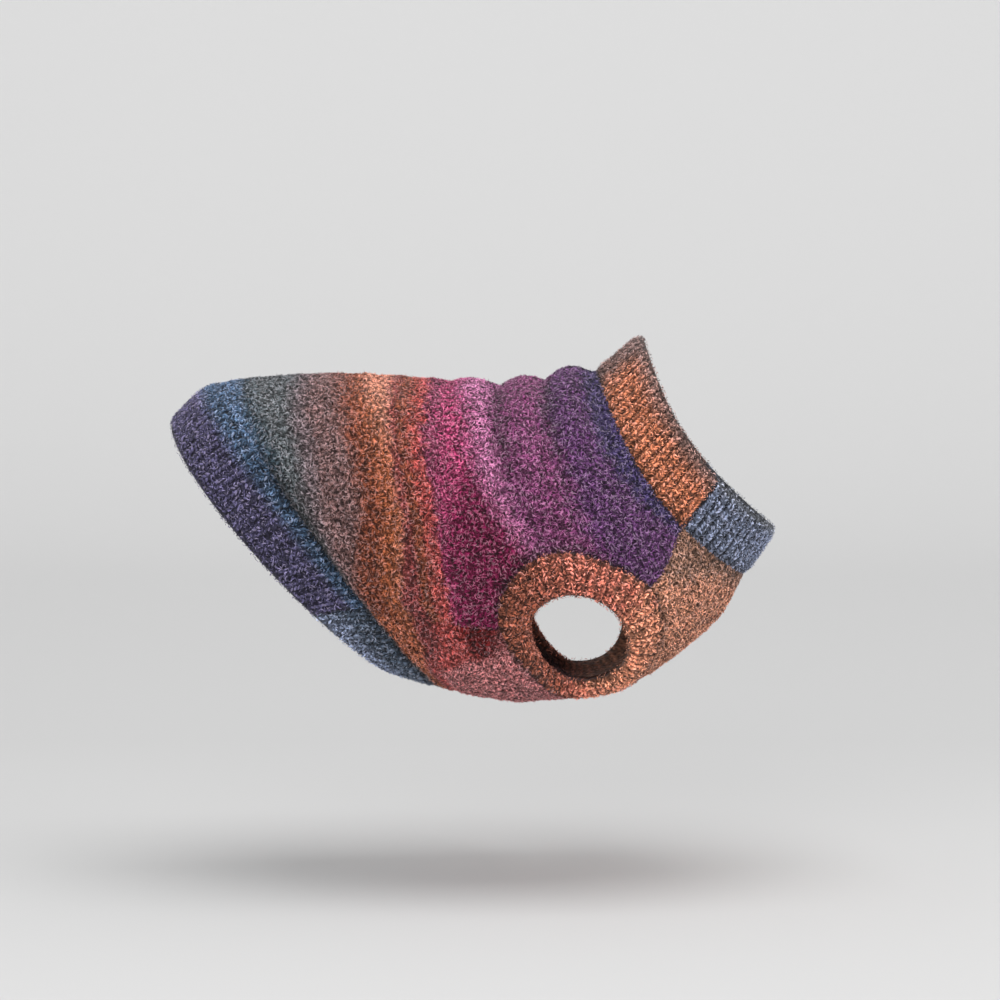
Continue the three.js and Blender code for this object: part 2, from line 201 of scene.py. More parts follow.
def fold_height(along, degrees):
    away = np.abs(np.where(degrees > 180, degrees - 360, degrees))
    height = np.zeros(np.broadcast(along, degrees).shape)
    for middle, reach, tall, drift, full, gone, start in BODY_FOLDS:
        share = np.abs(along - middle - drift * np.radians(away)) / reach
        fade = np.clip((gone - away) / (gone - full), 0, 1)
        rise = 1 if start is None else np.clip((away - start) / 30, 0, 1)
        bump = np.where(share < 1, tall * np.cos(np.minimum(share, 1) * np.pi / 2), 0)
        height = height + bump * fade * rise
    return height


def uneven(across, down, size, seed):
    """Smooth chance pattern from 0 to 1, with patches of the given size."""
    lattice = np.random.default_rng(seed).random((257, 257))
    a, d = np.asarray(across) / size % 256, np.asarray(down) / size % 256
    i, j = np.floor(a).astype(int), np.floor(d).astype(int)
    s, t = a - i, d - j
    s, t = s * s * (3 - 2 * s), t * t * (3 - 2 * t)
    low = lattice[i, j] * (1 - s) + lattice[i + 1, j] * s
    high = lattice[i, j + 1] * (1 - s) + lattice[i + 1, j + 1] * s
    return low * (1 - t) + high * t


YARN = {
    "indigo": "524d6d", "steel": "475e7a", "slate": "4c5154", "mauve_grey": "5d4f52",
    "mauve_brown": "634846", "orange": "86482b", "rust": "713231", "red": "943e3a",
    "magenta": "8c2e55", "pink": "9a5a7f", "plum": "693157", "purple": "4c2951",
    "violet": "33284d", "maroon": "4e0405", "brown": "8d4d32", "salmon": "aa755c",
    "rose_brown": "7e5c4b", "dusk": "4a4d52", "teal": "2c3b45", "belly_pink": "9c5f5f",
    "taupe": "6c5855", "blue": "7b849c",
    "blue_grey": "8b8f99", "coral": "cd7661", "clay": "9c5740", "wine": "5e0c33",
    # peach is painted light: a lighter orange for the top of the back, where the light from above falls
    "peach_lit_top": "a8705a", "rose": "74304a",
    "copper": "6e3723", "light_coral": "e79d7b",
    "collar_orange": "c27755",
}


def dyed(name):
    """The yarn's colour as linear red, green and blue."""
    code = YARN[name]
    part = np.array([int(code[i:i + 2], 16) for i in (0, 2, 4)]) / 255
    return np.where(part <= 0.04045, part / 12.92, ((part + 0.055) / 1.055) ** 2.4)


def striped(along, degrees, angles, stripes):
    """Colour of each stitch. A stripe is a yarn, how softly it begins, and its start at each angle."""
    away = np.abs(np.where(degrees > 180, degrees - 360, degrees))
    across, down = along * ALONG_MM, away * DEGREE_MM
    fine = (uneven(across, down, 2.4, 11) - 0.5) * 0.030
    ragged = fine + (uneven(across, down * 0.4, 12, 12) - 0.5) * 0.016
    colour = np.zeros(np.broadcast(along, degrees).shape + (3,)) + dyed(stripes[0][0])
    for name, softness, *starts in stripes[1:]:
        start = np.interp(away, angles, starts)
        share = np.clip((along + ragged - start) / softness + 0.5, 0, 1)[..., None]
        colour = colour * (1 - share) + dyed(name) * share
    streak = uneven(across, down * 0.22, 2.4, 13)
    patch = uneven(across, down, 14, 14)
    return colour * (0.80 + 0.26 * streak + 0.18 * patch)[..., None]


def zip_rim(outer_loop, inner_loop):
    """Faces between two edges with different numbers of points; each entry is a point and its place."""
    faces = []
    i = j = 0
    while i < len(outer_loop) - 1 or j < len(inner_loop) - 1:
        next_outer = outer_loop[i + 1][1] if i < len(outer_loop) - 1 else 1e9
        next_inner = inner_loop[j + 1][1] if j < len(inner_loop) - 1 else 1e9
        if next_outer <= next_inner:
            faces.append((outer_loop[i][0], inner_loop[j][0], outer_loop[i + 1][0]))
            i += 1
        else:
            faces.append((outer_loop[i][0], inner_loop[j][0], inner_loop[j + 1][0]))
            j += 1
    return faces


def knitted_wall(name, outer, inner, colour, flip, closed=False, every=(4, 3)):
    """Closed cloth wall from a grid of face points and the matching points of its back."""
    rows, columns = outer.shape[:2]
    pick_rows = sorted({*range(0, rows, every[0]), rows - 1})
    pick_columns = [*range(0, columns, every[1])]
    if not closed and pick_columns[-1] != columns - 1:
        pick_columns.append(columns - 1)
    back = inner[np.ix_(pick_rows, pick_columns)]
    back_colour = colour[np.ix_(pick_rows, pick_columns)] * 0.8
    points = np.concatenate([outer.reshape(-1, 3), back.reshape(-1, 3)]) / 1000
    colours = np.concatenate([colour.reshape(-1, 3), back_colour.reshape(-1, 3)])
    front_at = np.arange(rows * columns).reshape(rows, columns)
    back_at = rows * columns + np.arange(back.shape[0] * back.shape[1]).reshape(back.shape[:2])
    if closed:
        front_at = np.concatenate([front_at, front_at[:, :1]], 1)
        back_at = np.concatenate([back_at, back_at[:, :1]], 1)
    front = np.stack([
        front_at[:-1, :-1], front_at[:-1, 1:], front_at[1:, 1:], front_at[1:, :-1],
    ], -1).reshape(-1, 4)
    behind = np.stack([
        back_at[:-1, :-1], back_at[1:, :-1], back_at[1:, 1:], back_at[:-1, 1:],
    ], -1).reshape(-1, 4)
    column_places = pick_columns + ([columns] if closed else [])
    rim = []
    for front_row, back_row, turn in ((0, 0, False), (-1, -1, True)):
        loop_a = [(int(p), c) for c, p in enumerate(front_at[front_row])]
        loop_b = [(int(p), c) for c, p in zip(column_places, back_at[back_row])]
        made = zip_rim(loop_a, loop_b)
        rim += [f[::-1] for f in made] if turn else made
    if not closed:
        for side, turn in ((0, True), (-1, False)):
            loop_a = [(int(p), r) for r, p in enumerate(front_at[:, side])]
            loop_b = [(int(p), r) for r, p in zip(pick_rows, back_at[:, side])]
            made = zip_rim(loop_a, loop_b)
            rim += [f[::-1] for f in made] if turn else made
    faces = [tuple(f) for f in front.tolist()] + [tuple(f) for f in behind.tolist()] + rim
    outside = [True] * len(front) + [False] * len(behind) + [True] * len(rim)
    if flip:
        faces = [f[::-1] for f in faces]
    mesh = bpy.data.meshes.new(name)
    mesh.from_pydata(points.tolist(), [], faces)
    mesh.shade_smooth()
    colour_layer = mesh.attributes.new("yarn_colour", "FLOAT_COLOR", "POINT")
    colour_layer.data.foreach_set("color", np.concatenate([colours, np.ones((len(colours), 1))], 1).ravel())
    side_layer = mesh.attributes.new("outside", "BOOLEAN", "FACE")
    side_layer.data.foreach_set("value", outside)
    piece = bpy.data.objects.new(name, mesh)
    bpy.context.collection.objects.link(piece)
    return piece


def yarn_material(name, dark, bright, clumps, hair):
    """Brushed wool: the yarn's own colour, flecked from strand to strand, matt with a soft sheen; with hair,
    the brightest strands also carry a painted sheen, a pale tint.
    """
    material = bpy.data.materials.new(name)
    material.use_nodes = True
    nodes, links = material.node_tree.nodes, material.node_tree.links
    wool = nodes["Principled BSDF"]
    wool.inputs["Roughness"].default_value = 0.92
    wool.inputs["Specular IOR Level"].default_value = 0.18
    wool.inputs["Sheen Weight"].default_value = 0.16
    wool.inputs["Sheen Roughness"].default_value = 0.6
    dye = nodes.new("ShaderNodeAttribute")
    dye.attribute_name = "yarn_colour"
    shade = nodes.new("ShaderNodeMapRange")
    shade.inputs["To Min"].default_value = dark
    shade.inputs["To Max"].default_value = bright
    where = nodes.new("ShaderNodeTexCoord")
    clump = nodes.new("ShaderNodeTexNoise")
    clump.inputs["Scale"].default_value = 480
    clump.inputs["Detail"].default_value = 1.0
    links.new(where.outputs["Object"], clump.inputs["Vector"])
    clumped = nodes.new("ShaderNodeMapRange")
    clumped.inputs["From Min"].default_value = 0.35
    clumped.inputs["From Max"].default_value = 0.65
    clumped.inputs["To Min"].default_value = 1 - clumps
    clumped.inputs["To Max"].default_value = 1 + clumps
    links.new(clump.outputs["Fac"], clumped.inputs["Value"])
    both = nodes.new("ShaderNodeMath")
    both.operation = "MULTIPLY"
    links.new(shade.outputs["Result"], both.inputs[0])
    links.new(clumped.outputs["Result"], both.inputs[1])
    if hair:
        fleck = nodes.new("ShaderNodeAttribute")
        fleck.attribute_name = "fleck"
        curve = nodes.new("ShaderNodeMath")
        curve.operation = "POWER"
        curve.inputs[1].default_value = 1.7
        links.new(fleck.outputs["Fac"], curve.inputs[0])
        links.new(curve.outputs[0], shade.inputs["Value"])
    else:
        grain = nodes.new("ShaderNodeTexNoise")
        grain.inputs["Scale"].default_value = 620
        grain.inputs["Detail"].default_value = 2.5
        links.new(where.outputs["Object"], grain.inputs["Vector"])
        links.new(grain.outputs["Fac"], shade.inputs["Value"])
        shade.inputs["From Min"].default_value = 0.3
        shade.inputs["From Max"].default_value = 0.7
        relief = nodes.new("ShaderNodeBump")
        relief.inputs["Strength"].default_value = 0.9
        relief.inputs["Distance"].default_value = 0.0012
        links.new(grain.outputs["Fac"], relief.inputs["Height"])
        links.new(relief.outputs["Normal"], wool.inputs["Normal"])
    tint = nodes.new("ShaderNodeVectorMath")
    tint.operation = "SCALE"
    links.new(dye.outputs["Color"], tint.inputs[0])
    links.new(both.outputs[0], tint.inputs["Scale"])
    if hair:
        # painted sheen: the brightest strands are mixed towards a pale tint of their yarn, standing in for
        # the glint of light on the fibres
        pale = nodes.new("ShaderNodeMapRange")
        pale.inputs["From Min"].default_value = 0.80
        pale.inputs["To Max"].default_value = 0.40
        links.new(fleck.outputs["Fac"], pale.inputs["Value"])
        sheen_mix = nodes.new("ShaderNodeMix")
        sheen_mix.data_type = "RGBA"
        painted_sheen_tint = nodes.new("ShaderNodeVectorMath")
        painted_sheen_tint.operation = "MULTIPLY_ADD"
        painted_sheen_tint.inputs[1].default_value = (1.5, 1.5, 1.5)
        painted_sheen_tint.inputs[2].default_value = (0.40, 0.34, 0.37)
        links.new(dye.outputs["Color"], painted_sheen_tint.inputs[0])
        links.new(painted_sheen_tint.outputs["Vector"], sheen_mix.inputs["B"])
        links.new(pale.outputs["Result"], sheen_mix.inputs["Factor"])
        links.new(tint.outputs["Vector"], sheen_mix.inputs["A"])
        links.new(sheen_mix.outputs["Result"], wool.inputs["Base Color"])
    else:
        links.new(tint.outputs["Vector"], wool.inputs["Base Color"])
    return material


def curl_tree(name, tilt, seed):
    """Short bent strands strewn over the outer side of a cloth wall."""
    tree = bpy.data.node_groups.new(name, "GeometryNodeTree")
    face = tree.interface
    face.new_socket("Cloth", in_out="INPUT", socket_type="NodeSocketGeometry")
    for size in ("Strands per square metre", "Strand length", "Strand width", "Lift off the cloth"):
        face.new_socket(size, in_out="INPUT", socket_type="NodeSocketFloat")
    face.new_socket("Material", in_out="INPUT", socket_type="NodeSocketMaterial")
    face.new_socket("Strands", in_out="OUTPUT", socket_type="NodeSocketGeometry")
    nodes, links = tree.nodes, tree.links
    given = nodes.new("NodeGroupInput")
    result = nodes.new("NodeGroupOutput")

    def maths(operation, first, second):
        node = nodes.new("ShaderNodeMath")
        node.operation = operation
        for socket, value in zip(node.inputs, (first, second)):
            if isinstance(value, bpy.types.NodeSocket):
                links.new(value, socket)
            else:
                socket.default_value = value
        return node.outputs[0]

    side = nodes.new("GeometryNodeInputNamedAttribute")
    side.data_type = "BOOLEAN"
    side.inputs["Name"].default_value = "outside"
    strewn = nodes.new("GeometryNodeDistributePointsOnFaces")
    strewn.inputs["Seed"].default_value = seed
    links.new(given.outputs["Cloth"], strewn.inputs["Mesh"])
    links.new(side.outputs["Attribute"], strewn.inputs["Selection"])
    links.new(given.outputs["Strands per square metre"], strewn.inputs["Density"])
    rise = nodes.new("FunctionNodeRandomValue")
    rise.inputs["Seed"].default_value = seed + 1
    rise.inputs[2].default_value = 0.0
    rise.inputs[3].default_value = 1.0
    flecked = nodes.new("GeometryNodeStoreNamedAttribute")
    flecked.domain = "POINT"
    flecked.inputs["Name"].default_value = "fleck"
    links.new(strewn.outputs["Points"], flecked.inputs["Geometry"])
    links.new(rise.outputs[1], flecked.inputs["Value"])
    height = maths("MULTIPLY", rise.outputs[1], given.outputs["Lift off the cloth"])
    outward = nodes.new("ShaderNodeVectorMath")
    outward.operation = "SCALE"
    links.new(strewn.outputs["Normal"], outward.inputs[0])
    links.new(height, outward.inputs["Scale"])
    lifted = nodes.new("GeometryNodeSetPosition")
    links.new(flecked.outputs[0], lifted.inputs["Geometry"])
    links.new(outward.outputs[0], lifted.inputs["Offset"])

    sheet = nodes.new("GeometryNodeMeshGrid")
    sheet.inputs["Size X"].default_value = 1
    sheet.inputs["Size Y"].default_value = 1
    sheet.inputs["Vertices X"].default_value = 2
    sheet.inputs["Vertices Y"].default_value = 2
    corner = nodes.new("GeometryNodeInputPosition")
    parts = nodes.new("ShaderNodeSeparateXYZ")
    links.new(corner.outputs[0], parts.inputs[0])
    end = maths("ADD", parts.outputs["X"], parts.outputs["Y"])
    flank = maths("SUBTRACT", parts.outputs["Y"], parts.outputs["X"])
    tip = maths("ABSOLUTE", end, 0.0)
    x = maths("MULTIPLY", maths("MULTIPLY", end, 0.5), given.outputs["Strand length"])
    wide = maths("MULTIPLY", maths("MULTIPLY", flank, 0.5), given.outputs["Strand width"])
    curl = maths("MULTIPLY", maths("MULTIPLY", tip, 0.16), given.outputs["Strand length"])
    y = maths("SUBTRACT", wide, curl)
    z = maths("MULTIPLY", maths("MULTIPLY", tip, -0.14), given.outputs["Strand length"])
    bent = nodes.new("ShaderNodeCombineXYZ")
    for value, socket in zip((x, y, z), bent.inputs):
        links.new(value, socket)
    strand = nodes.new("GeometryNodeSetPosition")
    links.new(sheet.outputs["Mesh"], strand.inputs["Geometry"])
    links.new(bent.outputs[0], strand.inputs["Position"])

    lean = nodes.new("FunctionNodeRandomValue")
    lean.data_type = "FLOAT_VECTOR"
    lean.inputs[0].default_value = (-tilt * 0.6, -tilt, -math.pi)
    lean.inputs[1].default_value = (tilt * 0.6, tilt, math.pi)
    lean.inputs["Seed"].default_value = seed + 2
    spin = nodes.new("FunctionNodeEulerToRotation")
    links.new(lean.outputs[0], spin.inputs[0])
    turned = nodes.new("FunctionNodeRotateRotation")
    turned.rotation_space = "LOCAL"
    links.new(strewn.outputs["Rotation"], turned.inputs[0])
    links.new(spin.outputs[0], turned.inputs[1])
    size = nodes.new("FunctionNodeRandomValue")
    size.inputs["Seed"].default_value = seed + 3
    size.inputs[2].default_value = 0.65
    size.inputs[3].default_value = 1.35
    laid = nodes.new("GeometryNodeInstanceOnPoints")
    links.new(lifted.outputs["Geometry"], laid.inputs["Points"])
    links.new(strand.outputs["Geometry"], laid.inputs["Instance"])
    links.new(turned.outputs[0], laid.inputs["Rotation"])
    links.new(size.outputs[1], laid.inputs["Scale"])
    solid = nodes.new("GeometryNodeRealizeInstances")
    links.new(laid.outputs[0], solid.inputs[0])
    painted = nodes.new("GeometryNodeSetMaterial")
    links.new(solid.outputs[0], painted.inputs["Geometry"])
    links.new(given.outputs["Material"], painted.inputs["Material"])
    links.new(painted.outputs[0], result.inputs[0])
    return tree


def grown(name, cloth, tree, values):
    """The tree's result on a piece, as a plain mesh of its own."""
    modifier = cloth.modifiers.new(tree.name, "NODES")
    modifier.node_group = tree
    for item in tree.interface.items_tree:
        if item.in_out == "INPUT" and item.name in values:
            modifier[item.identifier] = values[item.name]
    ready = cloth.evaluated_get(bpy.context.evaluated_depsgraph_get())
    mesh = bpy.data.meshes.new_from_object(ready)
    mesh.name = name
    cloth.modifiers.remove(modifier)
    piece = bpy.data.objects.new(name, mesh)
    bpy.context.collection.objects.link(piece)
    return piece


def panel_cloth(name, side, columns, row_step, angles, stripes):
    """A panel between its two edges; side 1 is the back panel and side 2 the under panel.

    Its yarn colour has shade painted in: in the valleys beside the folds, in the crease over the
    hem seam, and along the armhole bands.
    """
    rows = [PANEL_EDGES[0]]
    for before, after in zip(PANEL_EDGES[:-1], PANEL_EDGES[1:]):
        count = max(1, round((after[0] - before[0]) / row_step))
        rows += [before + (after - before) * (i + 1) / count for i in range(count)]
    rows = np.array(rows)
    along = rows[:, :1]
    edge = rows[:, side:side + 1]
    first, last = (-edge, edge) if side == 1 else (edge, 360 - edge)
    share = np.linspace(0, 1, columns + 1)[None]
    degrees = first + (last - first) * share
    along = np.broadcast_to(along, degrees.shape)
    forward, round_it, outward = body_frame(along, degrees)
    point = body_point(along, degrees)
    cut = ((along[:, 0] > HOLE_START) & (along[:, 0] < HOLE_END))[:, None]
    point[:, 0] += np.where(cut, 0, SEAM_GAP / 2) * round_it[:, 0]
    point[:, -1] -= np.where(cut, 0, SEAM_GAP / 2) * round_it[:, -1]
    point[0] += forward[0] * SEAM_GAP / 2
    point[-1] -= forward[-1] * SEAM_GAP / 2
    away = np.abs(np.where(degrees > 180, degrees - 360, degrees))
    across, down = along * ALONG_MM, degrees * DEGREE_MM
    soft = (uneven(across, down, 11, 21) - 0.5) * 1.5 + (uneven(across, down, 2.6, 22) - 0.5) * 1.9
    rim = np.minimum(np.minimum(along - 0.03, 1 - along) / 0.02, np.minimum(share, 1 - share) / 0.03)
    soft = soft * np.clip(rim, 0, 1)
    crease = 2.5 * np.exp(-((along - 0.042) / 0.012) ** 2) * np.clip((away - 40) / 40, 0, 1)
    face = point + outward * (fold_height(along, degrees) + soft - crease)[..., None]
    back = point + outward * (fold_height(along, degrees) - PANEL_THICK)[..., None]
    colour = striped(along, degrees, angles, stripes)
    valleys = np.zeros(along.shape)
    for middle, drift in VALLEYS:
        valleys += np.exp(-((along - middle - drift * np.radians(away)) / VALLEY_WIDTH) ** 2)
    valleys = VALLEY_DEPTH * valleys * np.clip((80 - away) / 30, 0, 1) * np.clip((away - 4) / 12, 0.3, 1)
    colour = colour * (1 - valleys)[..., None]
    dip = np.exp(-((along - CREASE_PLACE) / CREASE_WIDTH) ** 2)
    shadow = 1 - CREASE_DEPTH * dip * np.clip((away - 50) / 26, 0, 1)
    by_the_hole = (along > BAND_SHADE_START) & (along < BAND_SHADE_END)
    by_the_band = np.exp(-(np.minimum(share, 1 - share) / (BAND_SHADE_WIDTH * side)) ** 2) * by_the_hole
    colour = colour * (shadow * (1 - BAND_SHADE_DEPTH * by_the_band))[..., None]
    return knitted_wall(name, face, back, colour, flip=False)


back_angles = (10, 35, 60, 80, 92, 104)
back_stripes = (
    ("steel", 0, -1, -1, -1, -1, -1, -1),
    ("teal", 0.040, 0.085, 0.072, 0.048, 0.020, 0.020, 0.020),
    ("slate", 0.045, 0.115, 0.110, 0.095, 0.066, 0.052, 0.045),
    ("mauve_grey", 0.045, 0.240, 0.215, 0.165, 0.098, 0.068, 0.056),
    ("mauve_brown", 0.045, 0.280, 0.262, 0.235, 0.140, 0.090, 0.070),
    ("copper", 0.050, 0.345, 0.350, 0.352, 0.305, 0.175, 0.095),
    ("orange", 0.050, 0.395, 0.400, 0.405, 0.375, 0.300, 0.200),
    # painted light: the peach stripe lies only over the top of the back, a lighter orange where the light
    # from above falls
    ("peach_lit_top", 0.050, 0.400, 0.430, 0.466, 0.440, 0.390, 0.310),
    ("rust", 0.030, 0.475, 0.472, 0.466, 0.440, 0.390, 0.310),
    ("copper", 0.020, 0.500, 0.498, 0.492, 0.470, 0.450, 0.400),
    ("red", 0.030, 0.535, 0.530, 0.522, 0.508, 0.490, 0.460),
    ("rose", 0.020, 0.572, 0.562, 0.557, 0.547, 0.532, 0.520),
    ("magenta", 0.035, 0.604, 0.598, 0.592, 0.570, 0.540, 0.524),
    ("wine", 0.060, 0.660, 0.660, 0.660, 0.585, 0.548, 0.530),
    ("pink", 0.050, 0.655, 0.660, 0.672, 0.714, 0.742, 0.950),
    ("plum", 0.035, 0.715, 0.712, 0.716, 0.730, 0.742, 0.950),
    ("purple", 0.040, 0.857, 0.838, 0.838, 0.828, 0.827, 0.830),
    ("violet", 0.030, 0.958, 0.932, 0.928, 0.945, 0.955, 0.975),
)
back_panel = panel_cloth("back_panel_knit", 1, 235, 0.0056, back_angles, back_stripes)
# painted shade: the ground cloth under the strands is kept dark, standing in for the shade in the gaps
# between the strands
shaded_ground_wool = yarn_material("brushed_wool_ground", dark=0.14, bright=0.50, clumps=0.45, hair=False)
strands = yarn_material("brushed_wool_strands", dark=0.13, bright=2.75, clumps=0.62, hair=True)
back_panel.data.materials.append(shaded_ground_wool)
curls = curl_tree("brushed_curls", 0.5, 31)
hairs = curl_tree("loose_hairs", 1.15, 57)
curl_sizes = {
    "Strands per square metre": 1600000.0, "Strand length": 0.0027, "Strand width": 0.00068,
    "Lift off the cloth": 0.0013, "Material": strands,
}
hair_sizes = {
    "Strands per square metre": 260000.0, "Strand length": 0.0040, "Strand width": 0.00032,
    "Lift off the cloth": 0.0010, "Material": strands,
}


def brushed_over(piece, tree, values, name, parts=1):
    """Strands on a piece, cut into as many pieces as asked from the hem end to the collar end."""
    whole = grown(name, piece, tree, values)
    if parts == 1:
        return [whole]
    count = len(whole.data.polygons)
    centre = np.empty(count * 3)
    whole.data.polygons.foreach_get("center", centre)
    centre = centre.reshape(-1, 3)
    order = centre[:, 0] - 0.45 * centre[:, 2]
    limits = np.quantile(order, np.linspace(0, 1, parts + 1)[1:-1])
    part_of = np.searchsorted(limits, order)
    made = []
    for part in range(parts):
        piece_part = whole.copy()
        piece_part.data = whole.data.copy()
        piece_part.name = piece_part.data.name = f"{name}_{part + 1}"
        bpy.context.collection.objects.link(piece_part)
        work = bmesh.new()
        work.from_mesh(piece_part.data)
        work.faces.ensure_lookup_table()
        gone = [work.faces[i] for i in np.nonzero(part_of != part)[0]]
        bmesh.ops.delete(work, geom=gone, context="FACES")
        work.to_mesh(piece_part.data)
        work.free()
        made.append(piece_part)
    bpy.data.objects.remove(whole)
    return made


back_nap = brushed_over(back_panel, curls, curl_sizes, "back_panel_curls", parts=2)
back_nap += brushed_over(back_panel, hairs, hair_sizes, "back_panel_hairs")
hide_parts("back_panel")
for piece in [back_panel, *back_nap]:
    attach(piece, "root")


# Under panel. The second knitted piece, under the chest and belly, from the hem seam to the
# collar seam, with the lower half of each armhole cut from its edges. Same brushed wool.
under_angles = (110, 122, 135, 180)
under_stripes = (
    ("dusk", 0, -1, -1, -1, -1),
    ("brown", 0.040, 0.060, 0.070, 0.090, 0.100),
    ("rust", 0.040, 0.300, 0.270, 0.180, 0.160),
    ("red", 0.040, 0.410, 0.370, 0.220, 0.200),
    ("maroon", 0.040, 0.500, 0.540, 0.620, 0.660),
    ("belly_pink", 0.060, 0.660, 0.620, 0.270, 0.230),
    ("salmon", 0.040, 0.800, 0.800, 0.780, 0.760),
    ("rose_brown", 0.030, 0.865, 0.905, 0.950, 0.970),
)
under_panel = panel_cloth("under_panel_knit", 2, 140, 0.0058, under_angles, under_stripes)
under_panel.data.materials.append(shaded_ground_wool)
under_nap = brushed_over(under_panel, curls, curl_sizes, "under_panel_curls")
under_nap += brushed_over(under_panel, hairs, hair_sizes, "under_panel_hairs")
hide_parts("under_panel")
for piece in [under_panel, *under_nap]:
    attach(piece, "root")


# Collar. A ribbed band knitted on to the neck edge in two parts, the long one above and down
# both sides and the short one at the throat. Each rib is a column of slanting stitches.
RIB_RELIEF = 0.6
# painted shade at the seam: how deep, and how far into the band
SEAM_SHADE = 0.5
SEAM_SHADE_WIDTH = 0.08
STITCH_SLANT = math.radians(38)
BAND_PROFILES = {
    # share of the width, lift of the face, strength of the ribs, thickness
    "collar": ((0, -0.8, 0.3, 3), (0.16, 1.4, 1, 3.6), (0.86, 1.8, 1, 3.6), (1, 0.4, 0.5, 1.6)),
    "hem": ((0, -0.8, 0.3, 3), (0.14, 0.7, 1, 3.6), (0.9, 0.9, 1, 3.6), (1, -0.4, 0.5, 1.6)),
    "armhole": (
        (0, 0, 0.3, 3), (0.2, 2.6, 1, 3.6), (0.6, 4.2, 1, 3.6), (0.92, 2.4, 1, 3.6), (1, 0.6, 0.5, 1.6),
    ),
}


def rib_shape(place):
    """Round ridge with a narrow groove at each whole number."""
    return 2 * np.abs(np.sin(np.pi * place)) ** 0.75 - 1


def band_points(profile, ribs, spots_along, spots_round, where):
    """Face, back and outward way of a ribbed band at shares of its width and shares round it."""
    table = np.array(BAND_PROFILES[profile])
    lift = np.interp(spots_along, table[:, 0], table[:, 1])[..., None]
    rib = np.interp(spots_along, table[:, 0], table[:, 2])[..., None]
    thick = np.interp(spots_along, table[:, 0], table[:, 3])[..., None]
    point, outward = where(spots_along, spots_round)
    relief = rib_shape(spots_round * ribs)[..., None] * rib * RIB_RELIEF
    ends = np.interp(spots_along, (0, 0.05, 0.95, 1), (0.2, 1, 1, 0.2))[..., None]
    face = point + outward * (lift + relief * ends)
    return face, point + outward * (lift - thick - RIB_RELIEF * 0.6), outward


def end_band(start, end, seam, free, over_top):
    """Place on the body of a band at the collar or the hem."""
    sign = 1 if end > start else -1

    def where(across, around):
        along = start + (end - start) * across
        edge = seam + (free - seam) * across
        first, last = (-edge, edge) if over_top else (edge, 360 - edge)
        degrees = first + (last - first) * around
        forward, round_it, outward = body_frame(along, degrees)
        point = body_point(along, degrees)
        point = point + forward * (np.where(across == 0, sign * SEAM_GAP / 2, 0))[..., None]
        side = np.where(around == 0, 1, np.where(around == 1, -1, 0)) * SEAM_GAP / 2
        return point + round_it * side[..., None], outward

    return where


def stitch_tree():
    """A column of slanting stitches: one long bead on each given point, turned as the point says."""
    tree = bpy.data.node_groups.new("rib_stitches", "GeometryNodeTree")
    face = tree.interface
    face.new_socket("Stitch places", in_out="INPUT", socket_type="NodeSocketGeometry")
    for size in ("Stitch length", "Stitch width", "Stitch height"):
        face.new_socket(size, in_out="INPUT", socket_type="NodeSocketFloat")
    face.new_socket("Material", in_out="INPUT", socket_type="NodeSocketMaterial")
    face.new_socket("Stitches", in_out="OUTPUT", socket_type="NodeSocketGeometry")
    nodes, links = tree.nodes, tree.links
    given = nodes.new("NodeGroupInput")
    result = nodes.new("NodeGroupOutput")
    bead = nodes.new("GeometryNodeMeshIcoSphere")
    bead.inputs["Radius"].default_value = 0.5
    bead.inputs["Subdivisions"].default_value = 1
    size = nodes.new("ShaderNodeCombineXYZ")
    for name, socket in zip(("Stitch length", "Stitch width", "Stitch height"), size.inputs):
        links.new(given.outputs[name], socket)
    long_bead = nodes.new("GeometryNodeTransform")
    links.new(bead.outputs["Mesh"], long_bead.inputs["Geometry"])
    links.new(size.outputs[0], long_bead.inputs["Scale"])
    ways = []
    for attribute in ("outward", "stitch_way"):
        way = nodes.new("GeometryNodeInputNamedAttribute")
        way.data_type = "FLOAT_VECTOR"
        way.inputs["Name"].default_value = attribute
        ways.append(way.outputs["Attribute"])
    turned = nodes.new("FunctionNodeAxesToRotation")
    turned.primary_axis = "Z"
    turned.secondary_axis = "X"
    links.new(ways[0], turned.inputs[0])
    links.new(ways[1], turned.inputs[1])
    spread = nodes.new("FunctionNodeRandomValue")
    spread.inputs["Seed"].default_value = 71
    spread.inputs[2].default_value = 0.85
    spread.inputs[3].default_value = 1.15
    laid = nodes.new("GeometryNodeInstanceOnPoints")
    links.new(given.outputs["Stitch places"], laid.inputs["Points"])
    links.new(long_bead.outputs["Geometry"], laid.inputs["Instance"])
    links.new(turned.outputs[0], laid.inputs["Rotation"])
    links.new(spread.outputs[1], laid.inputs["Scale"])
    chance = nodes.new("FunctionNodeRandomValue")
    chance.inputs["Seed"].default_value = 72
    marked = nodes.new("GeometryNodeStoreNamedAttribute")
    marked.domain = "INSTANCE"
    marked.inputs["Name"].default_value = "fleck"
    links.new(laid.outputs[0], marked.inputs["Geometry"])
    links.new(chance.outputs[1], marked.inputs["Value"])
    solid = nodes.new("GeometryNodeRealizeInstances")
    links.new(marked.outputs[0], solid.inputs[0])
    smooth = nodes.new("GeometryNodeSetShadeSmooth")
    links.new(solid.outputs[0], smooth.inputs["Geometry"])
    painted = nodes.new("GeometryNodeSetMaterial")
    links.new(smooth.outputs[0], painted.inputs["Geometry"])
    links.new(given.outputs["Material"], painted.inputs["Material"])
    links.new(painted.outputs[0], result.inputs[0])
    return tree


stitches = stitch_tree()
stitch_wool = yarn_material("rib_stitch_wool", dark=0.40, bright=1.95, clumps=0.50, hair=True)


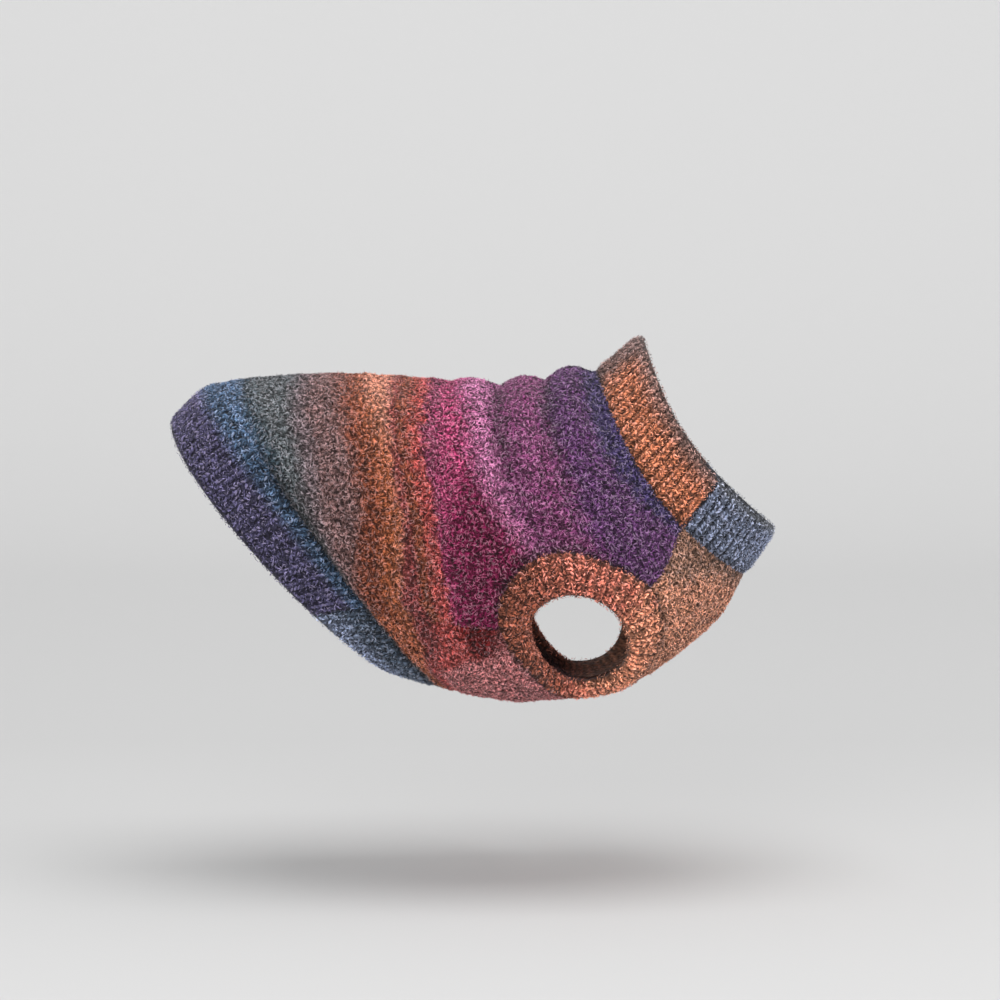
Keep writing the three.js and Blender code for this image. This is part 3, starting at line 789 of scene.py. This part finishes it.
def ribbed_band(name, profile, ribs, where, colour_at, flip, rows, stitch_rows, dark,
                closed=False, mirror=False):
    """A ribbed band with its stitches: the cloth wall, then a pair of slanting beads for each stitch."""
    spots_along, spots_round = np.meshgrid(
        np.linspace(0, 1, rows), np.linspace(0, 1, ribs * 6 + 1), indexing="ij")
    if closed:
        spots_along, spots_round = spots_along[:, :-1], spots_round[:, :-1]
    face, back, _ = band_points(profile, ribs, spots_along, spots_round, where)
    colour = colour_at(spots_along, spots_round)
    # painted shade: the colour darkens towards dark in the grooves between the ribs, and near the seam
    groove = dark + (1 - dark) * np.clip(rib_shape(spots_round * ribs) + 0.3, 0, 1)
    groove = groove * (1 - SEAM_SHADE * np.exp(-(spots_along / SEAM_SHADE_WIDTH) ** 2))
    if mirror:
        face, back = face * (1, -1, 1), back * (1, -1, 1)
    piece = knitted_wall(name, face, back, colour * groove[..., None], flip != mirror, closed, every=(3, 3))
    piece.data.materials.append(shaded_ground_wool)

    rib_at = np.arange(ribs) + 0.5
    places, ways, outs, colours = [], [], [], []
    for half in (-1, 1):
        across, around = np.meshgrid(
            (np.arange(stitch_rows) + 0.3) / stitch_rows * 0.94 + 0.02,
            (rib_at + half * 0.18) / ribs, indexing="ij")
        mid, _, outward = band_points(profile, ribs, across, around, where)
        ahead = band_points(profile, ribs, across + 0.02, around, where)[0]
        beside = band_points(profile, ribs, across, around + 0.002, where)[0]
        down = unit(ahead - mid)
        sideways = unit(beside - mid)
        slant = unit(down * math.cos(STITCH_SLANT) + sideways * half * math.sin(STITCH_SLANT))
        places.append((mid + outward * 0.15).reshape(-1, 3))
        ways.append(slant.reshape(-1, 3))
        outs.append(outward.reshape(-1, 3))
        shaded = 1 - SEAM_SHADE * np.exp(-(across / SEAM_SHADE_WIDTH) ** 2)
        colours.append((colour_at(across, around) * shaded[..., None]).reshape(-1, 3))
    places, ways, outs, colours = (np.concatenate(x) for x in (places, ways, outs, colours))
    if mirror:
        places, ways, outs = places * (1, -1, 1), ways * (1, -1, 1), outs * (1, -1, 1)
    marks = bpy.data.meshes.new(name + "_places")
    marks.from_pydata((places / 1000).tolist(), [], [])
    marks.attributes.new("yarn_colour", "FLOAT_COLOR", "POINT").data.foreach_set(
        "color", np.concatenate([colours, np.ones((len(colours), 1))], 1).ravel())
    for layer, values in (("stitch_way", ways), ("outward", outs)):
        marks.attributes.new(layer, "FLOAT_VECTOR", "POINT").data.foreach_set("vector", values.ravel())
    holder = bpy.data.objects.new(name + "_places", marks)
    bpy.context.collection.objects.link(holder)
    beads = grown(name + "_stitches", holder, stitches, {
        "Stitch length": 0.0034, "Stitch width": 0.0015, "Stitch height": 0.0016, "Material": stitch_wool,
    })
    bpy.data.objects.remove(holder)
    return piece, beads


def collar_back_colour(across, around):
    away = np.abs(around - 0.5) * 218
    along = across * 40
    ragged = (uneven(along, away * 1.3, 3, 41) - 0.5) * 0.3
    top = np.clip((34 - away) / 16 + ragged, 0, 1)[..., None] * 0.9
    rim = np.clip((across - 0.62) / 0.3 + ragged, 0, 1)[..., None] * 0.85
    colour = dyed("collar_orange") * (1 - top) + dyed("taupe") * top
    colour = colour * (1 - rim) + dyed("taupe") * 1.5 * rim
    return colour * (0.85 + 0.3 * uneven(along, away * 1.3, 2.5, 42))[..., None]


def collar_front_colour(across, around):
    ragged = (uneven(across * 40, around * 150, 3, 43) - 0.5) * 0.3
    rim = np.clip((across - 0.8) / 0.25 + ragged, 0, 1)[..., None]
    colour = dyed("blue") * (1 - rim) + dyed("blue_grey") * rim
    return colour * (0.85 + 0.3 * uneven(across * 40, around * 150, 2.5, 44))[..., None]


collar_back, collar_back_beads = ribbed_band(
    "collar_back_rib", "collar", 40, end_band(1, 1.17, 109.5, 108, True), collar_back_colour,
    flip=False, rows=16, stitch_rows=17, dark=0.5)
collar_front, collar_front_beads = ribbed_band(
    "collar_front_rib", "collar", 26, end_band(1, 1.17, 109.5, 108, False), collar_front_colour,
    flip=False, rows=14, stitch_rows=15, dark=0.3)
band_fuzz = {
    "Strands per square metre": 200000.0, "Strand length": 0.0024, "Strand width": 0.00034,
    "Lift off the cloth": 0.0014, "Material": strands,
}
band_curls = {
    "Strands per square metre": 600000.0, "Strand length": 0.0023, "Strand width": 0.00058,
    "Lift off the cloth": 0.0018, "Material": strands,
}


def brush_and_state(band, beads, node):
    """Brush a ribbed band, hide the solid it replaces, and attach the pieces to the root."""
    fuzz = brushed_over(band, hairs, band_fuzz, node + "_hairs")
    fuzz += brushed_over(band, curls, band_curls, node + "_curls")
    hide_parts(node)
    for piece in (band, beads, *fuzz):
        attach(piece, "root")


for band, beads, node, yarn, flat, area in (
    (collar_back, collar_back_beads, "collar_back", "collar_back_yarn", (0.27, 0.045), 0.0105),
    (collar_front, collar_front_beads, "collar_front", "collar_front_yarn", (0.165, 0.045), 0.0068),
):
    brush_and_state(band, beads, node)


# Hem. A ribbed band at the rear end, in two parts as the collar is: the long one over the back
# and flanks and the short one under the belly. Its ribs are flatter and its free edge draws in.
def hem_back_colour(across, around):
    away = np.abs(around - 0.5) * 220
    ragged = (uneven(across * 40, away * 1.4, 3, 45) - 0.5) * 0.3
    blue = np.clip((0.42 - across) / 0.22 + ragged, 0, 1)[..., None]
    colour = dyed("indigo") * (1 - blue) + dyed("steel") * blue
    return colour * (0.85 + 0.3 * uneven(across * 40, away * 1.4, 2.5, 46))[..., None]


def hem_belly_colour(across, around):
    ragged = (uneven(across * 40, around * 190, 3, 47) - 0.5) * 0.4
    grey = np.clip((across - 0.5) / 0.4 + ragged, 0, 1)[..., None]
    colour = (dyed("dusk") * 0.6 + dyed("steel") * 0.4) * (1 - grey) * 1.2 + dyed("blue") * grey * 1.3
    return colour * (0.85 + 0.3 * uneven(across * 40, around * 190, 2.5, 48))[..., None]


hem_back, hem_back_beads = ribbed_band(
    "hem_back_rib", "hem", 48, end_band(0.03, -0.13, 110, 109, True), hem_back_colour,
    flip=True, rows=15, stitch_rows=16, dark=0.72)
hem_belly, hem_belly_beads = ribbed_band(
    "hem_belly_rib", "hem", 30, end_band(0.03, -0.13, 110, 109, False), hem_belly_colour,
    flip=True, rows=13, stitch_rows=12, dark=0.72)
for band, beads, node, yarn, flat, area in (
    (hem_back, hem_back_beads, "hem_back", "hem_back_yarn", (0.33, 0.045), 0.0145),
    (hem_belly, hem_belly_beads, "hem_belly", "hem_belly_yarn", (0.20, 0.036), 0.0064),
):
    brush_and_state(band, beads, node)


# Armhole bands. A ribbed ring knitted on to the cut edge of each armhole and drawn in to a smaller
# round opening. Ribs run from the seam to the free edge. The left one mirrors the right one.
OPENING_CENTRE = np.array((106.0, -70.0, -145.5))
OPENING_HALF_LENGTH = 28.5
OPENING_RISE = np.array((-11.0, -22.0, 27.5))
STEEP_GAP = 0.6
# the rows of the panels' edges between the two ends of the cut
HOLE_ROWS = slice(13, 30)
HOLE_STEP = 1 / 84

rise_length = np.linalg.norm(OPENING_RISE)
rise_way = OPENING_RISE / rise_length
forward_way = unit(np.array((1.0, 0, 0)) - rise_way[0] * rise_way)

hole_rows = PANEL_EDGES[HOLE_ROWS]
hole_places = np.concatenate([hole_rows[:, (0, 1)], hole_rows[::-1][:, (0, 2)]])
hole_out = body_frame(hole_places[:, 0], hole_places[:, 1])[2]
hole_edge = body_point(hole_places[:, 0], hole_places[:, 1])
hole_edge = hole_edge + hole_out * fold_height(hole_places[:, 0], hole_places[:, 1])[:, None]
hole_next = np.roll(hole_edge, -1, 0)
hole_length = np.linalg.norm(hole_next - hole_edge, axis=1)
hole_total = np.concatenate([[0], np.cumsum(hole_length)])


def hole_at(around):
    """Seam point, way out of the wall and way along the cut edge at a share of the way round."""
    way_round = (around % 1) * hole_total[-1]
    index = np.clip(np.searchsorted(hole_total, way_round, side="right") - 1, 0, len(hole_edge) - 1)
    t = ((way_round - hole_total[index]) / hole_length[index])[..., None]
    after = (index + 1) % len(hole_edge)
    seam = hole_edge[index] * (1 - t) + hole_edge[after] * t
    wall_way = unit(hole_out[index] * (1 - t) + hole_out[after] * t)
    return seam, wall_way, unit(hole_next[index] - hole_edge[index])


def armhole_place(across, around):
    # The wall leaves the seam along the panel's own wall, and further on stands square to the band
    seam, wall_way, cut_way = hole_at(around)
    away = seam - OPENING_CENTRE
    turn = np.arctan2(away @ rise_way / rise_length, away @ forward_way / OPENING_HALF_LENGTH)[..., None]
    opening = OPENING_CENTRE + forward_way * OPENING_HALF_LENGTH * np.cos(turn) + OPENING_RISE * np.sin(turn)
    steep = np.clip(-(unit(opening - seam) * wall_way).sum(-1, keepdims=True), 0, 1)
    seam = seam + unit(np.cross(cut_way, wall_way)) * (SEAM_GAP + STEEP_GAP * steep)
    tangent = unit(hole_at(around + HOLE_STEP)[0] - hole_at(around - HOLE_STEP)[0])
    square = unit(np.cross(opening - seam, tangent))
    share = np.clip(across, 0, 1)[..., None]
    lean = np.clip(share / 0.2, 0, 1)
    return seam * (1 - share) + opening * share, unit(wall_way * (1 - lean) + square * lean)


def armhole_colour(across, around):
    # around: 0 at the rear corner, 0.25 over the top, 0.5 at the front corner, 0.75 below
    ragged = (uneven(across * 22, around * 230, 3, 49) - 0.5) * 0.12
    place = (around + ragged) % 1
    clay = np.interp(place, (0, 0.10, 0.20, 0.36, 0.72, 0.85, 1), (1, 0.9, 0.1, 0, 0, 0.8, 1))
    light = np.interp(place, (0.30, 0.42, 0.62, 0.75), (0, 1, 1, 0))[..., None]
    colour = dyed("coral") * (1 - clay[..., None]) + dyed("clay") * clay[..., None]
    colour = colour * (1 - light) + dyed("light_coral") * light
    return colour * (0.85 + 0.3 * uneven(across * 22, around * 230, 2.5, 50))[..., None]


for side, mirror in (("right", False), ("left", True)):
    node = "armhole_band_" + side
    band, beads = ribbed_band(
        node + "_rib", "armhole", 42, armhole_place, armhole_colour,
        flip=True, rows=13, stitch_rows=9, dark=0.45, closed=True, mirror=mirror)
    brush_and_state(band, beads, node)
